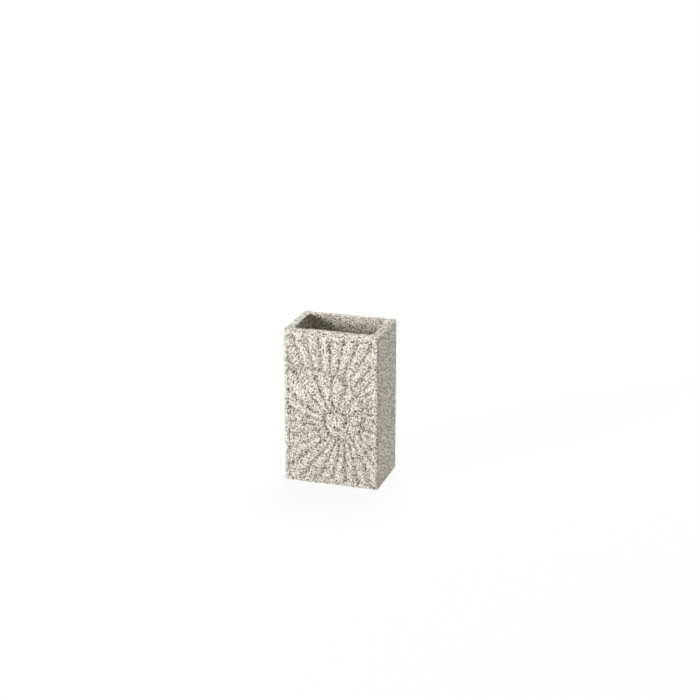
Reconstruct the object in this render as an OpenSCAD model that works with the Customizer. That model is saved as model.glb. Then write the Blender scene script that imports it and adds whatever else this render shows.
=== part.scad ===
// Toothbrush tumbler: one cast stone-effect cup, rectangular, with a coiled fossil shell
// in low relief on its front face, and four anti-slip pads let into its underside.
// Millimetres, +Z up, front face towards -Y, origin on the table under the middle.

/* [Cup] */
// Width across the front face
body_w = 67.5; // [60:0.5:80]
// Depth from the front face to the back
body_d = 45.5; // [40:0.5:56]
// Height of the casting, pads left out
body_h = 109.4; // [90:0.2:125]
// Wall thickness at the rim
wall_t = 6; // [4.5:0.25:8]
// Thickness of the floor
floor_t = 7; // [5:0.5:10]
// Radius of the four upright corners
corner_r = 2.2; // [1.6:0.1:4]
// Rounding of the rim's outer edge
rim_r = 1.2; // [0.6:0.1:1.5]
// Rounding where the sides meet the underside
heel_r = 1; // [0.5:0.1:1.5]

/* [Well] */
// How much the well narrows on each side from the rim to the floor
well_draft = 0.8; // [0.2:0.1:1.5]
// Radius of the well's upright corners
well_corner_r = 2.4; // [1.5:0.1:4]
// Rounding between the well's walls and its floor
well_fillet_r = 3.5; // [2:0.25:5]
// Bevel of the rim's inner edge
mouth_bevel = 0.6; // [0.3:0.1:1.2]

/* [Shell relief] */
// Depth of the deepest grooves below the front face
relief_depth = 1.5; // [0.6:0.1:2]
// How far the tops of the ribs lie below the front face
crest_drop = 0.15; // [0.1:0.05:0.4]
// Plain border between the relief and the edges of the face
relief_border = 2.4; // [2:0.1:5]
// Width of the band in which the relief rises from its border
relief_fade = 2.2; // [1:0.1:4]
// Eye of the shell, to the right of the face's middle
eye_x = 5.5; // [0:0.5:12]
// Eye of the shell, above the underside of the casting
eye_z = 46.4; // [40:0.2:60]
// Radius of the coil's steady part where it passes to the right of the eye
coil_r = 13.8; // [12:0.1:16]
// Growth of that steady part in one turn
coil_growth = 2.2; // [2:0.05:2.5]
// Radius of the flare that opens the coil, at the same place
flare_r = 4; // [3:0.1:5]
// Growth of the flare in one turn
flare_growth = 230; // [180:10:280]
// Turns of the coil before it passes to the right of the eye for the last time
coil_turns_in = 1.5; // [1.25:0.05:1.6]
// Turns of the coil after that, to where it runs off the face
coil_turns_out = 0.42; // [0.3:0.02:0.48]
// Width of the groove between one whorl and the next
suture_w = 1.4; // [0.8:0.1:2]
// Ribs in a turn where the coil passes to the right of the eye
rib_rate = 36.7; // [34:0.1:40]
// Ribs gained from each turn to the next
rib_gain = 27.5; // [22:0.5:32]
// Turns by which a rib lags for each e-fold of its distance from the eye
rib_lean = 0.025; // [0:0.005:0.05]

/* [Pads] */
// Diameter of a pad
pad_d = 8; // [6:0.5:12]
// Thickness of a pad
pad_t = 1.6; // [1:0.1:2.5]
// How far a pad stands below the casting
pad_stand = 0.6; // [0.3:0.1:0.8]
// Distance of a pad's middle from the nearest two sides
pad_inset = 9.5; // [8:0.5:14]
// Clearance round a pad in its recess
pad_gap = 0.3; // [0.1:0.05:0.6]

/* [Hidden] */

// Smoothness of turned and drilled shapes, of the posts inside a hull, and of a pad's edge
turned_fn = 48;
post_fn = 32;
edge_fn = 16;
// Overrun of every cut past the face it opens
over = 0.2;
// Least depth of a point inside the relief's border
relief_skin = 0.05;
// Rounding of a pad's lower edge
pad_round = 0.3;

// Grid of the relief: points in a turn, levels from one groove to the next, rings in the eye
turn_steps = 260;
levels = 6;
eye_rings = 4;
// Share of a turn in which the first groove deepens and the first ribs rise
groove_start_share = 0.3;
rib_start_share = 0.6;
// E-folds that the radius usually grows by from one groove to the next
whorl_efolds = 1.2;
// Place of the ribs along the coil, and the power that rounds them
rib_phase = 0.82;
rib_power = 0.8;

// Heights from the table
body_z = pad_stand;
top_z = body_z + body_h;
floor_z = body_z + floor_t;
front_y = -body_d / 2;
eye_up = body_z + eye_z;
recess_depth = pad_t - pad_stand;

// Room from the eye to the relief's border, right, left, up and down
room_right = body_w / 2 - relief_border - eye_x;
room_left = body_w / 2 - relief_border + eye_x;
room_up = body_h - relief_border - eye_z;
room_down = eye_z - relief_border;

// Columns of the relief's grid run from the start of the coil to its end. Each leans back
// by lean_steps, so that its outer end meets the start of a later column.
first_turn = -coil_turns_in;
lean_steps = round(rib_lean * whorl_efolds * turn_steps);
last_col = round((coil_turns_in + coil_turns_out) * turn_steps);
whorl_cols = turn_steps - lean_steps;
last_inner_col = last_col - whorl_cols;

// Radius of the coil after a number of turns, counted from the right of the eye
function coil(turn) = coil_r * pow(coil_growth, turn) + flare_r * pow(flare_growth, turn);

// Distance from the eye to the relief's border in one direction
function reach(angle) = min(
    (cos(angle) > 0 ? room_right : room_left) / abs(cos(angle)),
    (sin(angle) > 0 ? room_up : room_down) / abs(sin(angle))
);

// The groove between whorls follows the coil and never crosses the border
function suture(turn) = min(coil(turn), reach(360 * turn) - suture_w);

function smooth(x) = let (s = min(1, max(0, x))) s * s * (3 - 2 * s);

function groove(distance, turn) =
    smooth((turn - first_turn) / groove_start_share) * exp(-pow(distance / suture_w, 2));

// Rounded ribs between sharp grooves, 1 on a crest and 0 in a groove
function rib(turn, r) =
    let (
        along = turn + rib_lean * ln(r / coil(turn)),
        phase = rib_rate * along + rib_gain * along * along / 2 + rib_phase,
        share = smooth((turn - first_turn) / rib_start_share)
    )
    1 - share * (1 - pow(abs(sin(180 * phase)), rib_power));

// Nearness of the relief's border, from 0 on it to 1 well inside
function border_share(x, z) =
    smooth(min(room_right - x, room_left + x, room_up - z, room_down + z) / relief_fade);

// Depth below the front face, at a distance r in the whorl that starts at this turn
function depth(turn, r) =
    let (
        height = rib(turn, r)
            * (1 - min(1, groove(r - coil(turn), turn) + groove(coil(turn + 1) - r, turn + 1))),
        full = crest_drop + (relief_depth - crest_drop) * (1 - height)
    )
    max(relief_skin, full * border_share(r * cos(360 * turn), r * sin(360 * turn)));

// The whorl that holds a point, from a turn in its direction that is far enough out
function whorl(turn, r) = coil(turn) <= r ? turn : whorl(turn - 1, r);

function relief_point(turn, r, deep) =
    [eye_x + r * cos(360 * turn), front_y + deep, eye_up + r * sin(360 * turn)];

function col_turn(col) = first_turn + col / turn_steps;
function level_share(level) = (1 - cos(180 * level / levels)) / 2;

// Lean of a column, in turns, which is less where the border cuts it short
function col_lean(col) = min(
    lean_steps / turn_steps,
    rib_lean * ln(reach(360 * col_turn(col)) / suture(col_turn(col)))
);
function col_end(col) = col_turn(col) - (col <= last_inner_col ? lean_steps / turn_steps : col_lean(col));
function col_reach(col) =
    col <= last_inner_col ? suture(col_end(col) + 1) : reach(360 * col_end(col));

function grid_point(col, level) =
    let (
        share = level_share(level),
        turn = col_turn(col) + share * (col_end(col) - col_turn(col)),
        inner = suture(col_turn(col)),
        r = inner * pow(col_reach(col) / inner, share),
        on_border = level == levels && col > last_inner_col
    )
    relief_point(turn, r, on_border ? -over : depth(whorl(turn + 1, r), r));

// Index of a grid point: an inner column's last level is a later column's first
function grid_index(col, level) =
    level == levels && col <= last_inner_col
        ? grid_index(col + whorl_cols, 0)
        : col * (levels + 1) + level;

// Loop of grid points round the eye, and the rings that fill it
eye_loop = concat(
    [for (col = [0:whorl_cols - 1]) [col, 0]],
    [for (level = [levels:-1:1]) [0, level]]
);
eye_count = len(eye_loop);
function eye_point(ring, place) =
    let (
        edge = grid_point(eye_loop[place][0], eye_loop[place][1]) - [eye_x, front_y, eye_up],
        x = edge[0] * ring / eye_rings,
        z = edge[2] * ring / eye_rings,
        r = norm([x, z]),
        turn = atan2(z, x) / 360
    )
    [eye_x + x, front_y + depth(whorl(turn, r), r), eye_up + z];

grid_count = (last_col + 1) * (levels + 1);
eye_centre = grid_count + eye_count * (eye_rings - 1);
outer_tip = eye_centre + 1;
function eye_index(ring, place) =
    ring == eye_rings
        ? grid_index(eye_loop[place % eye_count][0], eye_loop[place % eye_count][1])
        : grid_count + (ring - 1) * eye_count + place % eye_count;

function quad(a, b, c, d) = [[a, c, b], [a, d, c]];

// Solid that is taken from the front face to leave the shell in relief
module relief_cutter() {
    points = concat(
        [for (col = [0:last_col]) for (level = [0:levels]) grid_point(col, level)],
        [for (ring = [1:eye_rings - 1]) for (place = [0:eye_count - 1]) eye_point(ring, place)],
        [[eye_x, front_y + crest_drop, eye_up], [eye_x, front_y - relief_depth, eye_up]]
    );
    whorl_faces = [for (col = [0:last_col - 1]) for (level = [0:levels - 1])
        if (col != last_inner_col || level < levels - 1)
        each quad(
            grid_index(col, level),
            grid_index(col + 1, level),
            grid_index(col + 1, level + 1),
            grid_index(col, level + 1)
        )];
    end_faces = concat(
        quad(
            grid_index(last_inner_col, levels - 1),
            grid_index(last_inner_col + 1, levels - 1),
            grid_index(last_inner_col + 1, levels),
            grid_index(last_inner_col, levels)
        ),
        [for (level = [0:levels - 1]) [
            grid_index(last_col, level),
            grid_index(last_col, level + 1),
            grid_index(last_inner_col + 1, levels)
        ]]
    );
    eye_faces = concat(
        [for (place = [0:eye_count - 1])
            [eye_centre, eye_index(1, place), eye_index(1, place + 1)]],
        [for (ring = [1:eye_rings - 1]) for (place = [0:eye_count - 1]) each quad(
            eye_index(ring, place),
            eye_index(ring, place + 1),
            eye_index(ring + 1, place + 1),
            eye_index(ring + 1, place)
        )]
    );
    outer_faces = [for (col = [last_inner_col + 1:last_col]) [
        outer_tip,
        grid_index(col == last_col ? last_inner_col + 1 : col + 1, levels),
        grid_index(col, levels)
    ]];
    polyhedron(points, concat(whorl_faces, end_faces, eye_faces, outer_faces), convexity = 6);
}

// Upright post with rounded ends, one corner of the casting
module corner_post() {
    rotate_extrude($fn = post_fn)
    intersection() {
        union() {
            translate([0, heel_r])
            square([corner_r, body_h - heel_r - rim_r]);
            square([corner_r - max(heel_r, rim_r), body_h]);
            translate([corner_r - heel_r, heel_r])
            circle(heel_r);
            translate([corner_r - rim_r, body_h - rim_r])
            circle(rim_r);
        }
        square([corner_r, body_h]);
    }
}

// Four copies, at the corners of a rectangle
module at_corners(x, y) {
    for (side = [-1, 1]) {
        for (end = [-1, 1]) {
            translate([side * x, end * y, 0])
            children();
        }
    }
}

module casting() {
    translate([0, 0, body_z])
    hull()
    at_corners(body_w / 2 - corner_r, body_d / 2 - corner_r)
    corner_post();
}

module well() {
    half_w = body_w / 2 - wall_t - well_corner_r;
    half_d = body_d / 2 - wall_t - well_corner_r;
    low_half_w = body_w / 2 - wall_t - well_draft - well_fillet_r;
    low_half_d = body_d / 2 - wall_t - well_draft - well_fillet_r;
    hull() {
        translate([0, 0, top_z])
        at_corners(half_w, half_d)
        cylinder(h = over, r = well_corner_r, $fn = post_fn);
        translate([0, 0, floor_z + well_fillet_r])
        at_corners(low_half_w, low_half_d)
        sphere(well_fillet_r, $fn = post_fn);
    }
    hull()
    translate([0, 0, top_z - 2 * mouth_bevel])
    at_corners(half_w, half_d)
    cylinder(
        h = 2 * mouth_bevel + over,
        r1 = well_corner_r - mouth_bevel,
        r2 = well_corner_r + mouth_bevel + over,
        $fn = post_fn
    );
}

module body() {
    color("#c3bdb1")
    difference() {
        casting();
        well();
        relief_cutter();
        at_corners(body_w / 2 - pad_inset, body_d / 2 - pad_inset)
        translate([0, 0, body_z - over])
        cylinder(h = recess_depth + over, d = pad_d + 2 * pad_gap, $fn = turned_fn);
    }
}

module pad(side, end) {
    color("#5b5a58")
    translate([side * (body_w / 2 - pad_inset), end * (body_d / 2 - pad_inset), 0])
    rotate_extrude($fn = turned_fn)
    union() {
        translate([0, pad_round])
        square([pad_d / 2, pad_t - pad_round]);
        square([pad_d / 2 - pad_round, pad_t]);
        translate([pad_d / 2 - pad_round, pad_round])
        circle(pad_round, $fn = edge_fn);
    }
}

body();
pad(-1, -1);  // pad_front_left
pad(1, -1);  // pad_front_right
pad(-1, 1);  // pad_back_left
pad(1, 1);  // pad_back_right
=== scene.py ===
"""Toothbrush tumbler of cast polyresin and sand, with a coiled shell in low relief on its front
and four anti-slip pads let into its underside. Metres, +Z up, front face towards -Y."""

import math

import bmesh
import bpy
from mathutils import Matrix, Vector
from mathutils.geometry import delaunay_2d_cdt
from mathutils.kdtree import KDTree


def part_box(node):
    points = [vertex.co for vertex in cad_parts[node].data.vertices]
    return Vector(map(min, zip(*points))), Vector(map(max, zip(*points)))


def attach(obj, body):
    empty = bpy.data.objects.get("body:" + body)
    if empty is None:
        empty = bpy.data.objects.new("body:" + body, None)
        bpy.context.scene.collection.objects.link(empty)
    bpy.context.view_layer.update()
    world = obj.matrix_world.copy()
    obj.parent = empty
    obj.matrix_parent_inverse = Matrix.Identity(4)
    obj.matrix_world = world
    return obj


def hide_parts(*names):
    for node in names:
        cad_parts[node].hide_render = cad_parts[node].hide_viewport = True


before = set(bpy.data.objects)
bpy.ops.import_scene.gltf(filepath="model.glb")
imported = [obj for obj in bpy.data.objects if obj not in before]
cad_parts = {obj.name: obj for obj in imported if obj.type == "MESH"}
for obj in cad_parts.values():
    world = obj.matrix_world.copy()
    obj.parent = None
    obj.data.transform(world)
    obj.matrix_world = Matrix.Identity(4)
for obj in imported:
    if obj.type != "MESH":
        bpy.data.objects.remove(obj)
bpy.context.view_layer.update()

MM = 0.001

# Casting, as in the solid model
WALL = 6 * MM
FLOOR = 7 * MM
CORNER_R = 2.2 * MM
RIM_R = 1.2 * MM
HEEL_R = 1 * MM
MOUTH_R = 0.6 * MM
WELL_DRAFT = 0.8 * MM
WELL_CORNER_R = 2.4 * MM
WELL_FILLET_R = 3.5 * MM
RECESS_GAP = 0.3 * MM
body_low, body_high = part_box("body")
HALF_W = body_high.x
HALF_D = body_high.y
BOTTOM = body_low.z
TOP = body_high.z
WELL_FLOOR = BOTTOM + FLOOR
PADS = ("pad_front_left", "pad_front_right", "pad_back_left", "pad_back_right")

# Spacing of the casting's mesh: fine on the front, medium on the sides, coarse at the back, on
# the underside and down to the mouth's depth in the well, and sparse below that
FINE = 0.5 * MM
MEDIUM = 0.58 * MM
COARSE = 0.9 * MM
SPARSE = 2.2 * MM
MOUTH_DEPTH = 34 * MM
ARC_STEPS = 4
CORNER_STEPS = 5
RECESS_STEPS = 40
# Least radius of a ring's corners, and the distance within which points are joined
SMALLEST_R = 0.3 * MM
WELD = 0.001 * MM
# Least distance from a flat face's outline to the points inside it, as a share of their spacing
CAP_MARGIN_SHARE = 0.7

# Grain: grit, and sand that is drawn coarser than the usual 0.1 to 0.4 mm, so that it shows
GRIT = 1.5 * MM
SAND = 0.6 * MM
# Place of the cup in the noise, and its turn there in radians, out of line with its faces, so
# that none of them shows the noise's cells in rows
SEED = 3.7
SKEW = (0.6, 0.5, 0.7)
# Named inputs of the carving. Coil and flare grow by their factors in one turn, and turn 0 lies
# to the right of the eye. Rib rate is the ribs in a turn there, and rib gain their rise a turn
CARVING = {
    "Eye X": 5.5 * MM,
    "Eye Z": BOTTOM + 46.4 * MM,
    "Coil radius": 13.8 * MM,
    "Coil growth": 2.2,
    "Flare radius": 4 * MM,
    "Flare growth": 230.0,
    "Suture width": 1.4 * MM,
    "Rib rate": 36.7,
    "Rib gain": 27.5,
    "Rib place": 0.82,
    "Rib lean": 0.025,
    "Relief depth": 1.5 * MM,
    "Crest drop": 0.15 * MM,
    "Border": 2.4 * MM,
    "Fade": 2.2 * MM,
    "Half width": HALF_W,
    "Bottom": BOTTOM,
    "Top": TOP,
    "Front limit": WALL / 2 - HALF_D,
    "Grit size": GRIT,
    "Grit depth": 0.9 * MM,
    "Sand size": SAND,
    "Sand depth": 0.15 * MM,
    "Seed": SEED,
}
# Turn where the coil starts, and the turns over which its grooves and ribs come up
FIRST_TURN = -1.5
GROOVE_START = 0.3
RIB_START = 0.6
# Shape of a rib's section: flat between narrow grooves near 0, and a sine's arch at 1
RIB_POWER = 0.8
# Least distance from the eye, which keeps the logarithm finite
TINY_R = 0.01 * MM
# Shape of a grain: a cone at 1, and a round dome at 2
DOME_POWER = 2.0


def linear(colour):
    """Linear RGBA of an sRGB hex colour."""
    channels = [int(colour[place : place + 2], 16) / 255 for place in (1, 3, 5)]
    curve = [c / 12.92 if c <= 0.04045 else ((c + 0.055) / 1.055) ** 2.4 for c in channels]
    return (*curve, 1)


def add(tree, kind, inputs=None, stops=None, between="LINEAR", **settings):
    """Adds a node with its settings, ramp stops, what lies between them, and inputs, each a link
    or a value."""
    node = tree.nodes.new(kind)
    for name, value in settings.items():
        setattr(node, name, value)
    if stops:
        ramp = node.color_ramp
        ramp.interpolation = between
        while len(ramp.elements) < len(stops):
            ramp.elements.new(1)
        for element, (place, colour) in zip(ramp.elements, stops):
            element.position = place
            element.color = linear(colour)
    for socket, value in (inputs or {}).items():
        if isinstance(value, bpy.types.NodeSocket):
            tree.links.new(value, node.inputs[socket])
        else:
            node.inputs[socket].default_value = value
    return node


def new_material(name):
    """Material with an empty node tree."""
    material = bpy.data.materials.new(name)
    material.use_nodes = True
    material.node_tree.nodes.clear()
    return material


# Materials

# Places of a Mix node's share, two colours and result among its sockets
MIX_SHARE = 0
MIX_FROM = 6
MIX_TO = 7
MIX_RESULT = 2
# Index of refraction of the resin and the rubber
IOR = 1.5
# Roughness of the smoothest and the roughest sand grains, and a grain's height in the bump
SMOOTHEST = 0.72
ROUGHEST = 0.98
SAND_RISE = 0.5 * MM
# Tones of the sand and the specks, each from its own share of the grains up to the next one's
SAND_TONES = (
    (0.00, "#1c1814"),
    (0.08, "#5d5347"),
    (0.16, "#b5ac9d"),
    (0.32, "#d8d2c5"),
    (0.70, "#e6e0d4"),
    (0.90, "#fbf8f1"),
)
SPECK_TONES = ((0.0, "#0f0d0b"), (0.3, "#1f1b17"), (0.6, "#352f28"), (0.8, "#5a5146"))
# Specks: spacing, then least and most radius and the rise in a groove as shares of it
# The rise in a groove grows the dark specks there as painted shade
SPECKS = (
    (1.1 * MM, (-0.08, 0.4), 0.18),
    (2.0 * MM, (-0.3, 0.33), 0.03),
)
# Noise that breaks the specks' outlines: its size, the most it moves a point, and its detail
CHIP = 0.7 * MM
CHIP_REACH = 1.2 * MM
CHIP_DETAIL = 1.0
# Mark that the carving leaves on the mesh, from 0 on a rib's crest to 1 at a groove's bottom
GROOVE = "groove"
# Dust and painted groove shade: tone, thickest cover, and the marks where it starts and is
# thickest
DUST_AND_SHADE_TONE = "#3b342c"
GROOVE_DUST_AND_SHADE = 0.3
DUST_AND_SHADE_START = 0.2
DUST_AND_SHADE_END = 0.9
# Pores in the foam's skin, with their tones from the middle to the edge
PORE = 0.25 * MM
PORE_DEPTH = PORE / 3
# Darker towards a pore's middle: painted shade in the pit
PORE_TONES_AND_SHADE = ((0.0, "#4c4b49"), (0.6, "#5d5c5a"), (1.0, "#6a6967"))
FOAM_ROUGHNESS = 0.85


def with_specks(tree, colour, place, groove):
    """Dark mineral specks, broken to uneven shapes, and grown in the grooves as painted shade."""
    uneven = add(
        tree, "ShaderNodeTexNoise", {"Vector": place, "Scale": 1 / CHIP, "Detail": CHIP_DETAIL}
    )
    shifted = add(
        tree,
        "ShaderNodeVectorMath",
        {0: uneven.outputs["Color"], 1: (CHIP_REACH, CHIP_REACH, CHIP_REACH), 2: place},
        operation="MULTIPLY_ADD",
    ).outputs["Vector"]
    for spacing, (least, most), groove_shade_rise in SPECKS:
        shifted = add(
            tree,
            "ShaderNodeVectorMath",
            {0: shifted, 1: (spacing, spacing, spacing)},
            operation="ADD",
        ).outputs["Vector"]
        specks = add(tree, "ShaderNodeTexVoronoi", {"Vector": shifted, "Scale": 1 / spacing})
        sorts = add(tree, "ShaderNodeSeparateColor", {"Color": specks.outputs["Color"]})
        size = add(
            tree,
            "ShaderNodeMapRange",
            {"Value": sorts.outputs["Green"], "To Min": least, "To Max": most},
        )
        # Specks grow in the grooves: painted shade
        grown = add(
            tree,
            "ShaderNodeMath",
            {0: groove, 1: groove_shade_rise, 2: size.outputs["Result"]},
            operation="MULTIPLY_ADD",
        )
        inside = add(
            tree,
            "ShaderNodeMath",
            {0: specks.outputs["Distance"], 1: grown.outputs[0]},
            operation="LESS_THAN",
        )
        tone = add(
            tree,
            "ShaderNodeValToRGB",
            {"Fac": sorts.outputs["Red"]},
            stops=SPECK_TONES,
            between="CONSTANT",
        )
        colour = add(
            tree,
            "ShaderNodeMix",
            {MIX_SHARE: inside.outputs[0], MIX_FROM: colour, MIX_TO: tone.outputs["Color"]},
            data_type="RGBA",
        ).outputs[MIX_RESULT]
    return colour


def with_dust_and_groove_shade(tree, colour, groove, hold):
    """Dust and painted shade low in the relief's grooves, more on grains that hold dust well."""
    low = add(
        tree,
        "ShaderNodeMapRange",
        {
            "Value": groove,
            "From Min": DUST_AND_SHADE_START,
            "From Max": DUST_AND_SHADE_END,
            "To Max": GROOVE_DUST_AND_SHADE,
        },
        interpolation_type="SMOOTHSTEP",
    )
    dust_and_shade = add(
        tree,
        "ShaderNodeMath",
        {0: low.outputs["Result"], 1: hold},
        operation="MULTIPLY",
        use_clamp=True,
    )
    return add(
        tree,
        "ShaderNodeMix",
        {MIX_SHARE: dust_and_shade.outputs[0], MIX_FROM: colour, MIX_TO: linear(DUST_AND_SHADE_TONE)},
        data_type="RGBA",
    ).outputs[MIX_RESULT]


def cast_stone():
    """Polyester resin packed with sand and cast in a rubber mould: matt, each grain rounded and
    with its own tone and polish. Dark mineral specks, dust and painted shade draw the grooves."""
    material = new_material("cast_polyresin_and_sand")
    tree = material.node_tree
    place = add(tree, "ShaderNodeTexCoord").outputs["Object"]
    seeded = add(
        tree,
        "ShaderNodeMapping",
        {"Vector": place, "Location": (SEED, SEED, SEED), "Rotation": SKEW},
    ).outputs["Vector"]
    groove = add(tree, "ShaderNodeAttribute", attribute_name=GROOVE).outputs["Fac"]
    sand = add(tree, "ShaderNodeTexVoronoi", {"Vector": seeded, "Scale": 1 / SAND})
    kinds = add(tree, "ShaderNodeSeparateColor", {"Color": sand.outputs["Color"]})
    colour = add(
        tree,
        "ShaderNodeValToRGB",
        {"Fac": kinds.outputs["Red"]},
        stops=SAND_TONES,
        between="CONSTANT",
    ).outputs["Color"]
    colour = with_specks(tree, colour, seeded, groove)
    # Dust and painted shade darken the grooves
    colour = with_dust_and_groove_shade(tree, colour, groove, kinds.outputs["Green"])
    bump = add(
        tree,
        "ShaderNodeBump",
        {"Height": sand.outputs["Distance"], "Distance": SAND_RISE},
        invert=True,
    )
    polish = add(
        tree,
        "ShaderNodeMapRange",
        {"Value": kinds.outputs["Blue"], "To Min": SMOOTHEST, "To Max": ROUGHEST},
    )
    shader = add(
        tree,
        "ShaderNodeBsdfPrincipled",
        {
            "Base Color": colour,
            "Roughness": polish.outputs["Result"],
            "IOR": IOR,
            "Normal": bump.outputs["Normal"],
        },
    )
    add(tree, "ShaderNodeOutputMaterial", {"Surface": shader.outputs[0]})
    return material


def foam_rubber():
    """Closed-cell foam rubber, cut from sheet: dull grey, with a skin of fine pores."""
    material = new_material("closed_cell_foam_rubber")
    tree = material.node_tree
    place = add(tree, "ShaderNodeTexCoord").outputs["Object"]
    pores = add(tree, "ShaderNodeTexVoronoi", {"Vector": place, "Scale": 1 / PORE})
    # Painted shade in the pores: darker at their middles
    colour = add(
        tree,
        "ShaderNodeValToRGB",
        {"Fac": pores.outputs["Distance"]},
        stops=PORE_TONES_AND_SHADE,
    )
    bump = add(
        tree, "ShaderNodeBump", {"Height": pores.outputs["Distance"], "Distance": PORE_DEPTH}
    )
    shader = add(
        tree,
        "ShaderNodeBsdfPrincipled",
        {
            "Base Color": colour.outputs["Color"],
            "Roughness": FOAM_ROUGHNESS,
            "IOR": IOR,
            "Normal": bump.outputs["Normal"],
        },
    )
    add(tree, "ShaderNodeOutputMaterial", {"Surface": shader.outputs[0]})
    return material


# Mesh code for the cup and the pads


def ring(inset, z, radius, counts):
    """Points of a rounded rectangle, anticlockwise from the left end of its front."""
    points = []
    for quarter, count in enumerate(counts):
        along, across = (HALF_W, HALF_D) if quarter % 2 == 0 else (HALF_D, HALF_W)
        along -= inset + radius
        across -= inset
        side = [(along * (2 * step / count - 1), -across) for step in range(count)]
        angles = [math.pi / 2 * (step / CORNER_STEPS - 1) for step in range(CORNER_STEPS)]
        corner = [
            (along + radius * math.cos(angle), radius - across + radius * math.sin(angle))
            for angle in angles
        ]
        turn = Matrix.Rotation(quarter * math.pi / 2, 2)
        points += [(turn @ Vector(point)).to_3d() + Vector((0, 0, z)) for point in side + corner]
    return points


def ring_counts(front, sides, back, inset):
    """Number of steps along the front, right, back and left of a ring."""
    width = 2 * (HALF_W - inset - CORNER_R)
    depth = 2 * (HALF_D - inset - CORNER_R)
    return (round(width / front), round(depth / sides), round(width / back), round(depth / sides))


def spread(start, end, spacing):
    """Numbers from start to end in even steps of about the spacing."""
    count = max(1, round(abs(end - start) / spacing))
    return [start + (end - start) * step / count for step in range(count + 1)]


def arc(start, end):
    """Cosine and sine along an arc, from angles in degrees."""
    angles = [math.radians(angle) for angle in spread(start, end, abs(end - start) / ARC_STEPS)]
    return [(math.cos(angle), math.sin(angle)) for angle in angles]


def add_rows(mesh, rows, closed=True):
    """Quads between rows of points, each with as many points as the next."""
    rows = [[mesh.verts.new(point) for point in row] for row in rows]
    for low, high in zip(rows, rows[1:]):
        for here in range(len(low) if closed else len(low) - 1):
            there = (here + 1) % len(low)
            mesh.faces.new((low[here], low[there], high[there], high[here]))


def add_strip(mesh, low, high):
    """Triangles between two chains of points that lie side by side, whatever their counts."""
    low = [mesh.verts.new(point) for point in low]
    high = [mesh.verts.new(point) for point in high]
    here = there = 0
    while here < len(low) - 1 or there < len(high) - 1:
        if there == len(high) - 1:
            step_low = True
        elif here == len(low) - 1:
            step_low = False
        else:
            low_span = (low[here + 1].co - high[there].co).length
            step_low = low_span < (low[here].co - high[there + 1].co).length
        if step_low:
            mesh.faces.new((low[here], low[here + 1], high[there]))
            here += 1
        else:
            mesh.faces.new((low[here], high[there + 1], high[there]))
            there += 1


def add_fan(mesh, loop, centre, upwards):
    """Triangles from a loop of points to its middle."""
    tip = mesh.verts.new(centre)
    loop = [mesh.verts.new(point) for point in loop]
    for here, there in zip(loop, loop[1:] + loop[:1]):
        mesh.faces.new((here, there, tip) if upwards else (there, here, tip))


def add_cap(mesh, outline, spacing, upwards, holes=()):
    """Flat face inside an outline and outside its round holes, in triangles of about one size."""
    z = outline[0].z
    border = []
    edges = []
    for loop in (outline, *holes):
        first = len(border)
        border += [point.to_2d() for point in loop]
        edges += [(first + step, first + (step + 1) % len(loop)) for step in range(len(loop))]
    discs = []
    for hole in holes:
        middle = sum((point.to_2d() for point in hole), Vector((0, 0))) / len(hole)
        discs.append((middle, (hole[0].to_2d() - middle).length))
    near = KDTree(len(border))
    for index, point in enumerate(border):
        near.insert(point.to_3d(), index)
    near.balance()
    low = Vector(map(min, *(point.to_2d() for point in outline)))
    high = Vector(map(max, *(point.to_2d() for point in outline)))
    inside = [
        Vector((x, y))
        for x in spread(low.x, high.x, spacing)
        for y in spread(low.y, high.y, spacing)
        if near.find(Vector((x, y, 0)))[2] > spacing * CAP_MARGIN_SHARE
    ]
    points, _, faces, *_ = delaunay_2d_cdt(border + inside, edges, [], 1, WELD)
    made = [mesh.verts.new((*point, z)) for point in points]
    for face in faces:
        middle = sum((points[index] for index in face), Vector((0, 0))) / len(face)
        if all((middle - centre).length > radius for centre, radius in discs):
            mesh.faces.new([made[index] for index in (face if upwards else reversed(face))])


def close(mesh):
    """Joins the parts of a mesh where they meet, and stops the script if it isn't closed."""
    bmesh.ops.remove_doubles(mesh, verts=mesh.verts, dist=WELD)
    loose = [vertex for vertex in mesh.verts if not vertex.link_faces]
    bmesh.ops.delete(mesh, geom=loose, context="VERTS")
    if not all(edge.is_manifold for edge in mesh.edges):
        raise RuntimeError("a mesh isn't closed")
    for face in mesh.faces:
        face.smooth = True


def new_piece(name, mesh, material):
    """Object from a bmesh, at the origin."""
    data = bpy.data.meshes.new(name)
    mesh.to_mesh(data)
    mesh.free()
    data.materials.append(material)
    piece = bpy.data.objects.new(name, data)
    bpy.context.scene.collection.objects.link(piece)
    return piece


# Cup


def rounding(inset, z, corner, radius, angles, counts, side=1):
    """Rings of a rounded edge, from one angle to another. The ring at 0 degrees has the given
    inset, z and corner, and the others lie further in, or further out where side is -1."""
    rings = []
    for cos, sin in arc(*angles):
        step = side * radius * (1 - cos)
        rings.append(ring(inset + step, z + radius * sin, max(SMALLEST_R, corner - step), counts))
    return rings


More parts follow.
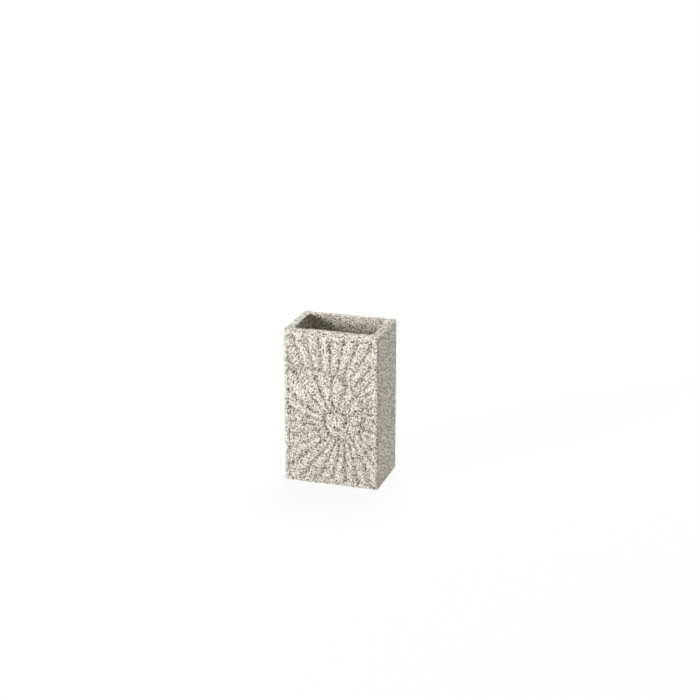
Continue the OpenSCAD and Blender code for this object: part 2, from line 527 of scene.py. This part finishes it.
def add_outside(mesh):
    """Heel, walls, rim and lip. Gives the outline of the underside and the ring in the mouth."""
    counts = ring_counts(FINE, MEDIUM, COARSE, 0)
    wall_bottom = BOTTOM + HEEL_R
    wall_top = TOP - RIM_R
    well_top = TOP - MOUTH_R

    heel = rounding(0, wall_bottom, CORNER_R, HEEL_R, (-90, 0), counts)
    rim = rounding(0, wall_top, CORNER_R, RIM_R, (0, 90), counts)
    mouth = rounding(WALL, well_top, WELL_CORNER_R, MOUTH_R, (90, 0), counts, side=-1)
    lip_corner = CORNER_R - RIM_R
    lip_growth = (WELL_CORNER_R + MOUTH_R - lip_corner) / (WALL - MOUTH_R - RIM_R)
    lip = [
        ring(inset, TOP, lip_corner + lip_growth * (inset - RIM_R), counts)
        for inset in spread(RIM_R, WALL - MOUTH_R, COARSE)
    ]
    for rows in (heel, rim, lip, mouth):
        add_rows(mesh, rows)

    def wall(spacing, columns):
        heights = spread(wall_bottom, wall_top, spacing)
        return [ring(0, z, CORNER_R, counts)[columns] for z in heights]

    front_columns = counts[0] + 1
    front = wall(FINE, slice(front_columns))
    around = wall(MEDIUM, slice(front_columns, None))
    add_rows(mesh, front, closed=False)
    add_rows(mesh, around, closed=False)
    add_strip(mesh, [row[0] for row in around], [row[-1] for row in front])
    add_strip(mesh, [row[0] for row in front], [row[-1] for row in around])
    return heel[0], mouth[-1]


def add_well(mesh, mouth):
    """Drafted well with a filleted floor, from its mouth down."""
    well_top = TOP - MOUTH_R
    well_bottom = WELL_FLOOR + WELL_FILLET_R

    def wall(z, spacing):
        share = (well_top - z) / (well_top - well_bottom)
        corner = WELL_CORNER_R + (WELL_FILLET_R - WELL_CORNER_R) * share
        counts = ring_counts(spacing, spacing, spacing, WALL)
        return ring(WALL + WELL_DRAFT * share, z, corner, counts)

    heights = spread(well_top - COARSE, well_top - MOUTH_DEPTH, COARSE)
    upper = [wall(z, COARSE) for z in heights]
    lower = [wall(z, SPARSE) for z in spread(heights[-1] - SPARSE, well_bottom, SPARSE)]
    counts = ring_counts(SPARSE, SPARSE, SPARSE, WALL)
    inset = WALL + WELL_DRAFT
    fillet = rounding(inset, well_bottom, WELL_FILLET_R, WELL_FILLET_R, (0, -90), counts)
    for rows in (upper, lower, fillet):
        add_rows(mesh, rows)
    for low, high in ((mouth, upper[0]), (upper[-1], lower[0])):
        add_strip(mesh, [*low, low[0]], [*high, high[0]])
    add_cap(mesh, fillet[-1], SPARSE, upwards=True)


def add_underside(mesh, outline):
    """Flat underside with a round recess over each pad."""
    recesses = []
    for name in PADS:
        low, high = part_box(name)
        middle = ((low + high) / 2).to_2d()
        radius = (high.x - low.x) / 2 + RECESS_GAP
        turns = [math.tau * step / RECESS_STEPS for step in range(RECESS_STEPS)]
        circle = [middle + radius * Vector((math.cos(turn), math.sin(turn))) for turn in turns]
        heights = spread(high.z, BOTTOM, COARSE / 2)
        rows = [[Vector((*point, z)) for point in circle] for z in heights]
        add_rows(mesh, rows)
        add_cap(mesh, rows[0], COARSE, upwards=False)
        recesses.append(rows[-1])
    add_cap(mesh, outline, COARSE, upwards=False, holes=recesses)


def blank_cup():
    """The casting before its relief and grain, as one closed mesh."""
    mesh = bmesh.new()
    heel, mouth = add_outside(mesh)
    add_well(mesh, mouth)
    add_underside(mesh, heel)
    close(mesh)
    return mesh


def coil_steps(name, turn):
    """Radius of the coil after a number of turns: a steady spiral and the flare that opens it."""
    return (
        (f"{name} steady", "POWER", "Coil growth", turn),
        (f"{name} steady radius", "MULTIPLY", f"{name} steady", "Coil radius"),
        (f"{name} flare", "POWER", "Flare growth", turn),
        (name, "MULTIPLY_ADD", f"{name} flare", "Flare radius", f"{name} steady radius"),
    )


def groove_steps(name, coil, turn):
    """Groove between whorls, 1 on the coil and fading to both sides."""
    return (
        (f"{name} distance", "SUBTRACT", "r", coil),
        (f"{name} widths", "DIVIDE", f"{name} distance", "Suture width"),
        (f"{name} square", "MULTIPLY", f"{name} widths", f"{name} widths"),
        (f"{name} minus", "MULTIPLY", f"{name} square", -1.0),
        (f"{name} bell", "EXPONENT", f"{name} minus"),
        (f"{name} share", "SMOOTHSTEP", turn, FIRST_TURN, FIRST_TURN + GROOVE_START),
        (name, "MULTIPLY", f"{name} bell", f"{name} share"),
    )


# Depth of the shell relief as rows of name, operation and terms, from a point's x, y and z
RELIEF = (
    ("dx", "SUBTRACT", "x", "Eye X"),
    ("dz", "SUBTRACT", "z", "Eye Z"),
    ("dx square", "MULTIPLY", "dx", "dx"),
    ("r square", "MULTIPLY_ADD", "dz", "dz", "dx square"),
    ("r bare", "SQRT", "r square"),
    ("r", "MAXIMUM", "r bare", TINY_R),
    ("angle", "ARCTAN2", "dz", "dx"),
    ("outer turn", "DIVIDE", "angle", math.tau),
    ("inner turn", "SUBTRACT", "outer turn", 1.0),
    *coil_steps("outer coil", "outer turn"),
    *coil_steps("inner coil", "inner turn"),
    *groove_steps("outer groove", "outer coil", "outer turn"),
    *groove_steps("inner groove", "inner coil", "inner turn"),
    ("grooves", "ADD", "outer groove", "inner groove"),
    # Whorl that holds the point, and how far along the coil its rib lies
    ("past outer", "GREATER_THAN", "r", "outer coil"),
    ("past inner", "GREATER_THAN", "r", "inner coil"),
    ("past", "ADD", "past outer", "past inner"),
    ("first whorl", "SUBTRACT", "inner turn", 1.0),
    ("turn", "ADD", "first whorl", "past"),
    *coil_steps("whorl", "turn"),
    ("growth", "DIVIDE", "r", "whorl"),
    ("efolds", "LOGARITHM", "growth", math.e),
    ("along", "MULTIPLY_ADD", "efolds", "Rib lean", "turn"),
    ("along square", "MULTIPLY", "along", "along"),
    ("half gain", "MULTIPLY", "Rib gain", 0.5),
    ("steady ribs", "MULTIPLY_ADD", "along", "Rib rate", "Rib place"),
    ("ribs", "MULTIPLY_ADD", "along square", "half gain", "steady ribs"),
    ("rib angle", "MULTIPLY", "ribs", math.pi),
    ("rib sine", "SINE", "rib angle"),
    ("rib fold", "ABSOLUTE", "rib sine"),
    ("rib round", "POWER", "rib fold", RIB_POWER),
    ("rib cut", "SUBTRACT", 1.0, "rib round"),
    ("rib share", "SMOOTHSTEP", "turn", FIRST_TURN, FIRST_TURN + RIB_START),
    ("rib loss", "MULTIPLY", "rib cut", "rib share"),
    ("rib", "SUBTRACT", 1.0, "rib loss"),
    # Height of ribs and grooves together, then the depth under the front face
    ("groove cut", "MINIMUM", "grooves", 1.0),
    ("groove left", "SUBTRACT", 1.0, "groove cut"),
    ("height", "MULTIPLY", "rib", "groove left"),
    ("sunk", "SUBTRACT", 1.0, "height"),
    ("span", "SUBTRACT", "Relief depth", "Crest drop"),
    ("full depth", "MULTIPLY_ADD", "sunk", "span", "Crest drop"),
    # Nearness of the border on all four sides
    ("side x", "ABSOLUTE", "x"),
    ("room beside", "SUBTRACT", "Half width", "side x"),
    ("room below", "SUBTRACT", "z", "Bottom"),
    ("room above", "SUBTRACT", "Top", "z"),
    ("room up or down", "MINIMUM", "room below", "room above"),
    ("room", "MINIMUM", "room beside", "room up or down"),
    ("fade end", "ADD", "Border", "Fade"),
    ("border share", "SMOOTHSTEP", "room", "Border", "fade end"),
    ("on front", "LESS_THAN", "y", "Front limit"),
    ("front share", "MULTIPLY", "border share", "on front"),
    ("depth", "MULTIPLY", "full depth", "front share"),
    ("groove share", "MULTIPLY", "sunk", "front share"),
)


def carve(tree, given):
    """Carves the shell into the front face and leaves a mark of its grooves."""
    place = add(tree, "GeometryNodeInputPosition")
    axes = add(tree, "ShaderNodeSeparateXYZ", {0: place.outputs[0]})
    made = {**given, **dict(zip("xyz", axes.outputs))}
    for name, operation, *terms in RELIEF:
        values = [made[term] if isinstance(term, str) else term for term in terms]
        inputs = dict(enumerate(values))
        if operation == "SMOOTHSTEP":
            node = add(tree, "ShaderNodeMapRange", inputs, interpolation_type="SMOOTHSTEP")
        else:
            node = add(tree, "ShaderNodeMath", inputs, operation=operation)
        made[name] = node.outputs[0]
    inwards = add(tree, "ShaderNodeCombineXYZ", {"Y": made["depth"]})
    carved = add(
        tree,
        "GeometryNodeSetPosition",
        {"Geometry": given["Geometry"], "Offset": inwards.outputs[0]},
    )
    marked = add(
        tree,
        "GeometryNodeStoreNamedAttribute",
        {"Geometry": carved.outputs[0], "Name": GROOVE, "Value": made["groove share"]},
        data_type="FLOAT",
        domain="POINT",
    )
    return marked.outputs[0]


def roughen(tree, given, geometry):
    """Grit and sand that stand up to the moulded face, with the pits between them under it."""
    place = add(tree, "GeometryNodeInputPosition")
    turned = add(
        tree,
        "ShaderNodeVectorRotate",
        {"Vector": place.outputs[0], "Rotation": SKEW},
        rotation_type="EULER_XYZ",
    )
    seed = add(tree, "ShaderNodeCombineXYZ", {axis: given["Seed"] for axis in "XYZ"})
    seeded = add(
        tree, "ShaderNodeVectorMath", {0: turned.outputs[0], 1: seed.outputs[0]}, operation="ADD"
    )
    sunk = 0.0
    for kind in ("Grit", "Sand"):
        scale = add(tree, "ShaderNodeMath", {0: 1.0, 1: given[f"{kind} size"]}, operation="DIVIDE")
        cells = add(
            tree, "ShaderNodeTexVoronoi", {"Vector": seeded.outputs[0], "Scale": scale.outputs[0]}
        )
        dome = add(
            tree,
            "ShaderNodeMath",
            {0: cells.outputs["Distance"], 1: DOME_POWER},
            operation="POWER",
        )
        sunk = add(
            tree,
            "ShaderNodeMath",
            {0: dome.outputs[0], 1: given[f"{kind} depth"], 2: sunk},
            operation="MULTIPLY_ADD",
        ).outputs[0]
    back = add(tree, "ShaderNodeMath", {0: sunk, 1: -1.0}, operation="MULTIPLY")
    normal = add(tree, "GeometryNodeInputNormal")
    offset = add(
        tree,
        "ShaderNodeVectorMath",
        {0: normal.outputs[0], "Scale": back.outputs[0]},
        operation="SCALE",
    )
    rough = add(
        tree, "GeometryNodeSetPosition", {"Geometry": geometry, "Offset": offset.outputs[0]}
    )
    return rough.outputs[0]


def carving_tree(stone):
    """Node tree that makes the finished casting's surface from the blank one."""
    tree = bpy.data.node_groups.new("shell_and_grain", "GeometryNodeTree")
    tree.interface.new_socket("Geometry", in_out="INPUT", socket_type="NodeSocketGeometry")
    for name in CARVING:
        tree.interface.new_socket(name, in_out="INPUT", socket_type="NodeSocketFloat")
    tree.interface.new_socket("Geometry", in_out="OUTPUT", socket_type="NodeSocketGeometry")
    group = add(tree, "NodeGroupInput")
    given = {socket.name: socket for socket in group.outputs}
    rough = roughen(tree, given, carve(tree, given))
    real = add(tree, "GeometryNodeRealizeInstances", {"Geometry": rough})
    finished = add(
        tree, "GeometryNodeSetMaterial", {"Geometry": real.outputs[0], "Material": stone}
    )
    add(tree, "NodeGroupOutput", {0: finished.outputs[0]})
    return tree


def cup(stone):
    """The casting, with its relief and grain as a plain mesh."""
    piece = new_piece("cup", blank_cup(), stone)
    modifier = piece.modifiers.new("shell_and_grain", "NODES")
    modifier.node_group = carving_tree(stone)
    for item in modifier.node_group.interface.items_tree:
        if item.name in CARVING:
            modifier[item.identifier] = CARVING[item.name]
    graph = bpy.context.evaluated_depsgraph_get()
    carved = bpy.data.meshes.new_from_object(piece.evaluated_get(graph))
    piece.modifiers.remove(modifier)
    piece.data = carved
    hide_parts("body")
    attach(piece, "root")


# Pads

PAD_EDGE_R = 0.3 * MM
PAD_DISH = 0.08 * MM
PAD_TURN_STEPS = 72
PAD_RINGS = 8


def pad(node, rubber):
    """Anti-slip disc with a rounded lower edge and a slightly dished sole."""
    low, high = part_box(node)
    middle = ((low + high) / 2).to_2d().to_3d()
    radius = (high.x - low.x) / 2
    spacing = radius / PAD_RINGS
    flat = radius - PAD_EDGE_R
    sole = [(r, low.z + PAD_DISH * (1 - (r / flat) ** 2)) for r in spread(spacing, flat, spacing)]
    edge = [(flat + PAD_EDGE_R * cos, low.z + PAD_EDGE_R * (1 + sin)) for cos, sin in arc(-90, 0)]
    side = [(radius, z) for z in spread(low.z + PAD_EDGE_R, high.z, PAD_EDGE_R)]
    back = [(r, high.z) for r in spread(radius, spacing, spacing)]
    turns = [math.tau * step / PAD_TURN_STEPS for step in range(PAD_TURN_STEPS)]
    rows = [
        [middle + Vector((r * math.cos(turn), r * math.sin(turn), z)) for turn in turns]
        for r, z in (*sole, *edge[1:], *side[1:], *back[1:])
    ]
    mesh = bmesh.new()
    add_rows(mesh, rows)
    add_fan(mesh, rows[0], middle + Vector((0, 0, low.z + PAD_DISH)), upwards=False)
    add_fan(mesh, rows[-1], middle + Vector((0, 0, high.z)), upwards=True)
    close(mesh)
    piece = new_piece(node.replace("pad", "foam_pad"), mesh, rubber)
    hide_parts(node)
    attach(piece, "root")


# Studio

# Lens: width of the frame and focal length in pixels, and width of the sensor in millimetres
IMAGE = 700
FOCAL_PIXELS = 1613.37
SENSOR = 36
# Camera: direction in degrees and distance from its aim, which lies right and up of the middle
CAMERA_AZIMUTH = 17.59
CAMERA_ELEVATION = 18.2
CAMERA_DISTANCE = 1112 * MM
CAMERA_RIGHT = 6.362 * MM
CAMERA_UP = 34.265 * MM
# Board: half its width in metres, and its share of glow, which rises to 1 between two distances
FLOOR_HALF = 10
FLOOR_GLOW = 0.92
GLOW_START = 60 * MM
GLOW_END = 700 * MM
WORLD_STRENGTH = 0.16
WHITE = "#ffffff"
PAPER = "#e9e9e9"
# Soft lamps: azimuth and elevation in degrees, distance and size in metres, and watts
LAMPS = {
    "front": (-38, 13, 1.6, 0.5, 28),
    "beside": (138, 5, 1.6, 0.25, 9),
    "above": (185, 68, 1.6, 0.7, 23),
}


def direction(azimuth, elevation):
    """Unit vector from the object, azimuth 0 towards -Y and 90 towards +X, in degrees."""
    turn = math.radians(azimuth)
    rise = math.radians(elevation)
    level = math.cos(rise)
    return Vector((math.sin(turn) * level, -math.cos(turn) * level, math.sin(rise)))


def facing(back):
    """Rotation whose local Z is the given vector, with its X level."""
    right = Vector((0, 0, 1)).cross(back).normalized()
    return Matrix((right, back.cross(right), back)).transposed().to_4x4()


def camera():
    """Camera at the photograph's viewing angle, with its lens as the photograph's frame needs."""
    back = direction(CAMERA_AZIMUTH, CAMERA_ELEVATION)
    turn = facing(back)
    right = turn.col[0].to_3d()
    up = turn.col[1].to_3d()
    aim = Vector((0, 0, TOP / 2)) + right * CAMERA_RIGHT + up * CAMERA_UP
    data = bpy.data.cameras.new("camera")
    data.sensor_width = SENSOR
    data.lens = FOCAL_PIXELS / IMAGE * SENSOR
    made = bpy.data.objects.new("camera", data)
    made.matrix_world = Matrix.Translation(aim + back * CAMERA_DISTANCE) @ turn
    bpy.context.scene.collection.objects.link(made)
    bpy.context.scene.camera = made


def lamp(name, azimuth, elevation, distance, size, watts):
    """Round soft lamp that points at the object."""
    data = bpy.data.lights.new(name, "AREA")
    data.shape = "DISK"
    data.size = size
    data.energy = watts
    back = direction(azimuth, elevation)
    made = bpy.data.objects.new(name, data)
    made.matrix_world = Matrix.Translation(back * distance) @ facing(back)
    bpy.context.scene.collection.objects.link(made)


def seen(tree):
    """1 for the rays that show a background: from the camera, a reflection or through glass."""
    path = add(tree, "ShaderNodeLightPath")
    either = add(
        tree,
        "ShaderNodeMath",
        {0: path.outputs["Is Camera Ray"], 1: path.outputs["Is Glossy Ray"]},
        operation="MAXIMUM",
    )
    return add(
        tree,
        "ShaderNodeMath",
        {0: either.outputs[0], 1: path.outputs["Is Transmission Ray"]},
        operation="MAXIMUM",
    ).outputs[0]


def studio_world():
    """Even white surroundings that light the object softly and show as white."""
    world = bpy.data.worlds.new("studio")
    world.use_nodes = True
    tree = world.node_tree
    tree.nodes.clear()
    strength = add(
        tree,
        "ShaderNodeMapRange",
        {"Value": seen(tree), "To Min": WORLD_STRENGTH, "To Max": 1.0},
    )
    shader = add(
        tree,
        "ShaderNodeBackground",
        {"Color": linear(WHITE), "Strength": strength.outputs["Result"]},
    )
    add(tree, "ShaderNodeOutputWorld", {"Surface": shader.outputs[0]})
    bpy.context.scene.world = world


def studio_floor():
    """Matt white board. To the camera it is part glow, and shows white under a soft shadow."""
    material = new_material("white_paper_board")
    tree = material.node_tree
    paper = add(tree, "ShaderNodeBsdfDiffuse", {"Color": linear(PAPER)})
    glow = add(tree, "ShaderNodeEmission", {"Color": linear(WHITE), "Strength": 1.0})
    place = add(tree, "ShaderNodeTexCoord").outputs["Object"]
    away = add(tree, "ShaderNodeVectorMath", {0: place}, operation="LENGTH")
    glow_share = add(
        tree,
        "ShaderNodeMapRange",
        {
            "Value": away.outputs["Value"],
            "From Min": GLOW_START,
            "From Max": GLOW_END,
            "To Min": FLOOR_GLOW,
            "To Max": 1.0,
        },
        interpolation_type="SMOOTHSTEP",
    )
    share = add(
        tree,
        "ShaderNodeMath",
        {0: seen(tree), 1: glow_share.outputs["Result"]},
        operation="MULTIPLY",
    )
    shader = add(
        tree,
        "ShaderNodeMixShader",
        {0: share.outputs[0], 1: paper.outputs[0], 2: glow.outputs[0]},
    )
    add(tree, "ShaderNodeOutputMaterial", {"Surface": shader.outputs[0]})
    mesh = bmesh.new()
    corners = ((-1, -1), (1, -1), (1, 1), (-1, 1))
    mesh.faces.new([mesh.verts.new((x * FLOOR_HALF, y * FLOOR_HALF, 0)) for x, y in corners])
    new_piece("floor", mesh, material)


camera()
for name, settings in LAMPS.items():
    lamp(name, *settings)
studio_world()
studio_floor()
bpy.context.scene.view_settings.view_transform = "Standard"

cup(cast_stone())
rubber = foam_rubber()
for node in PADS:
    pad(node, rubber)
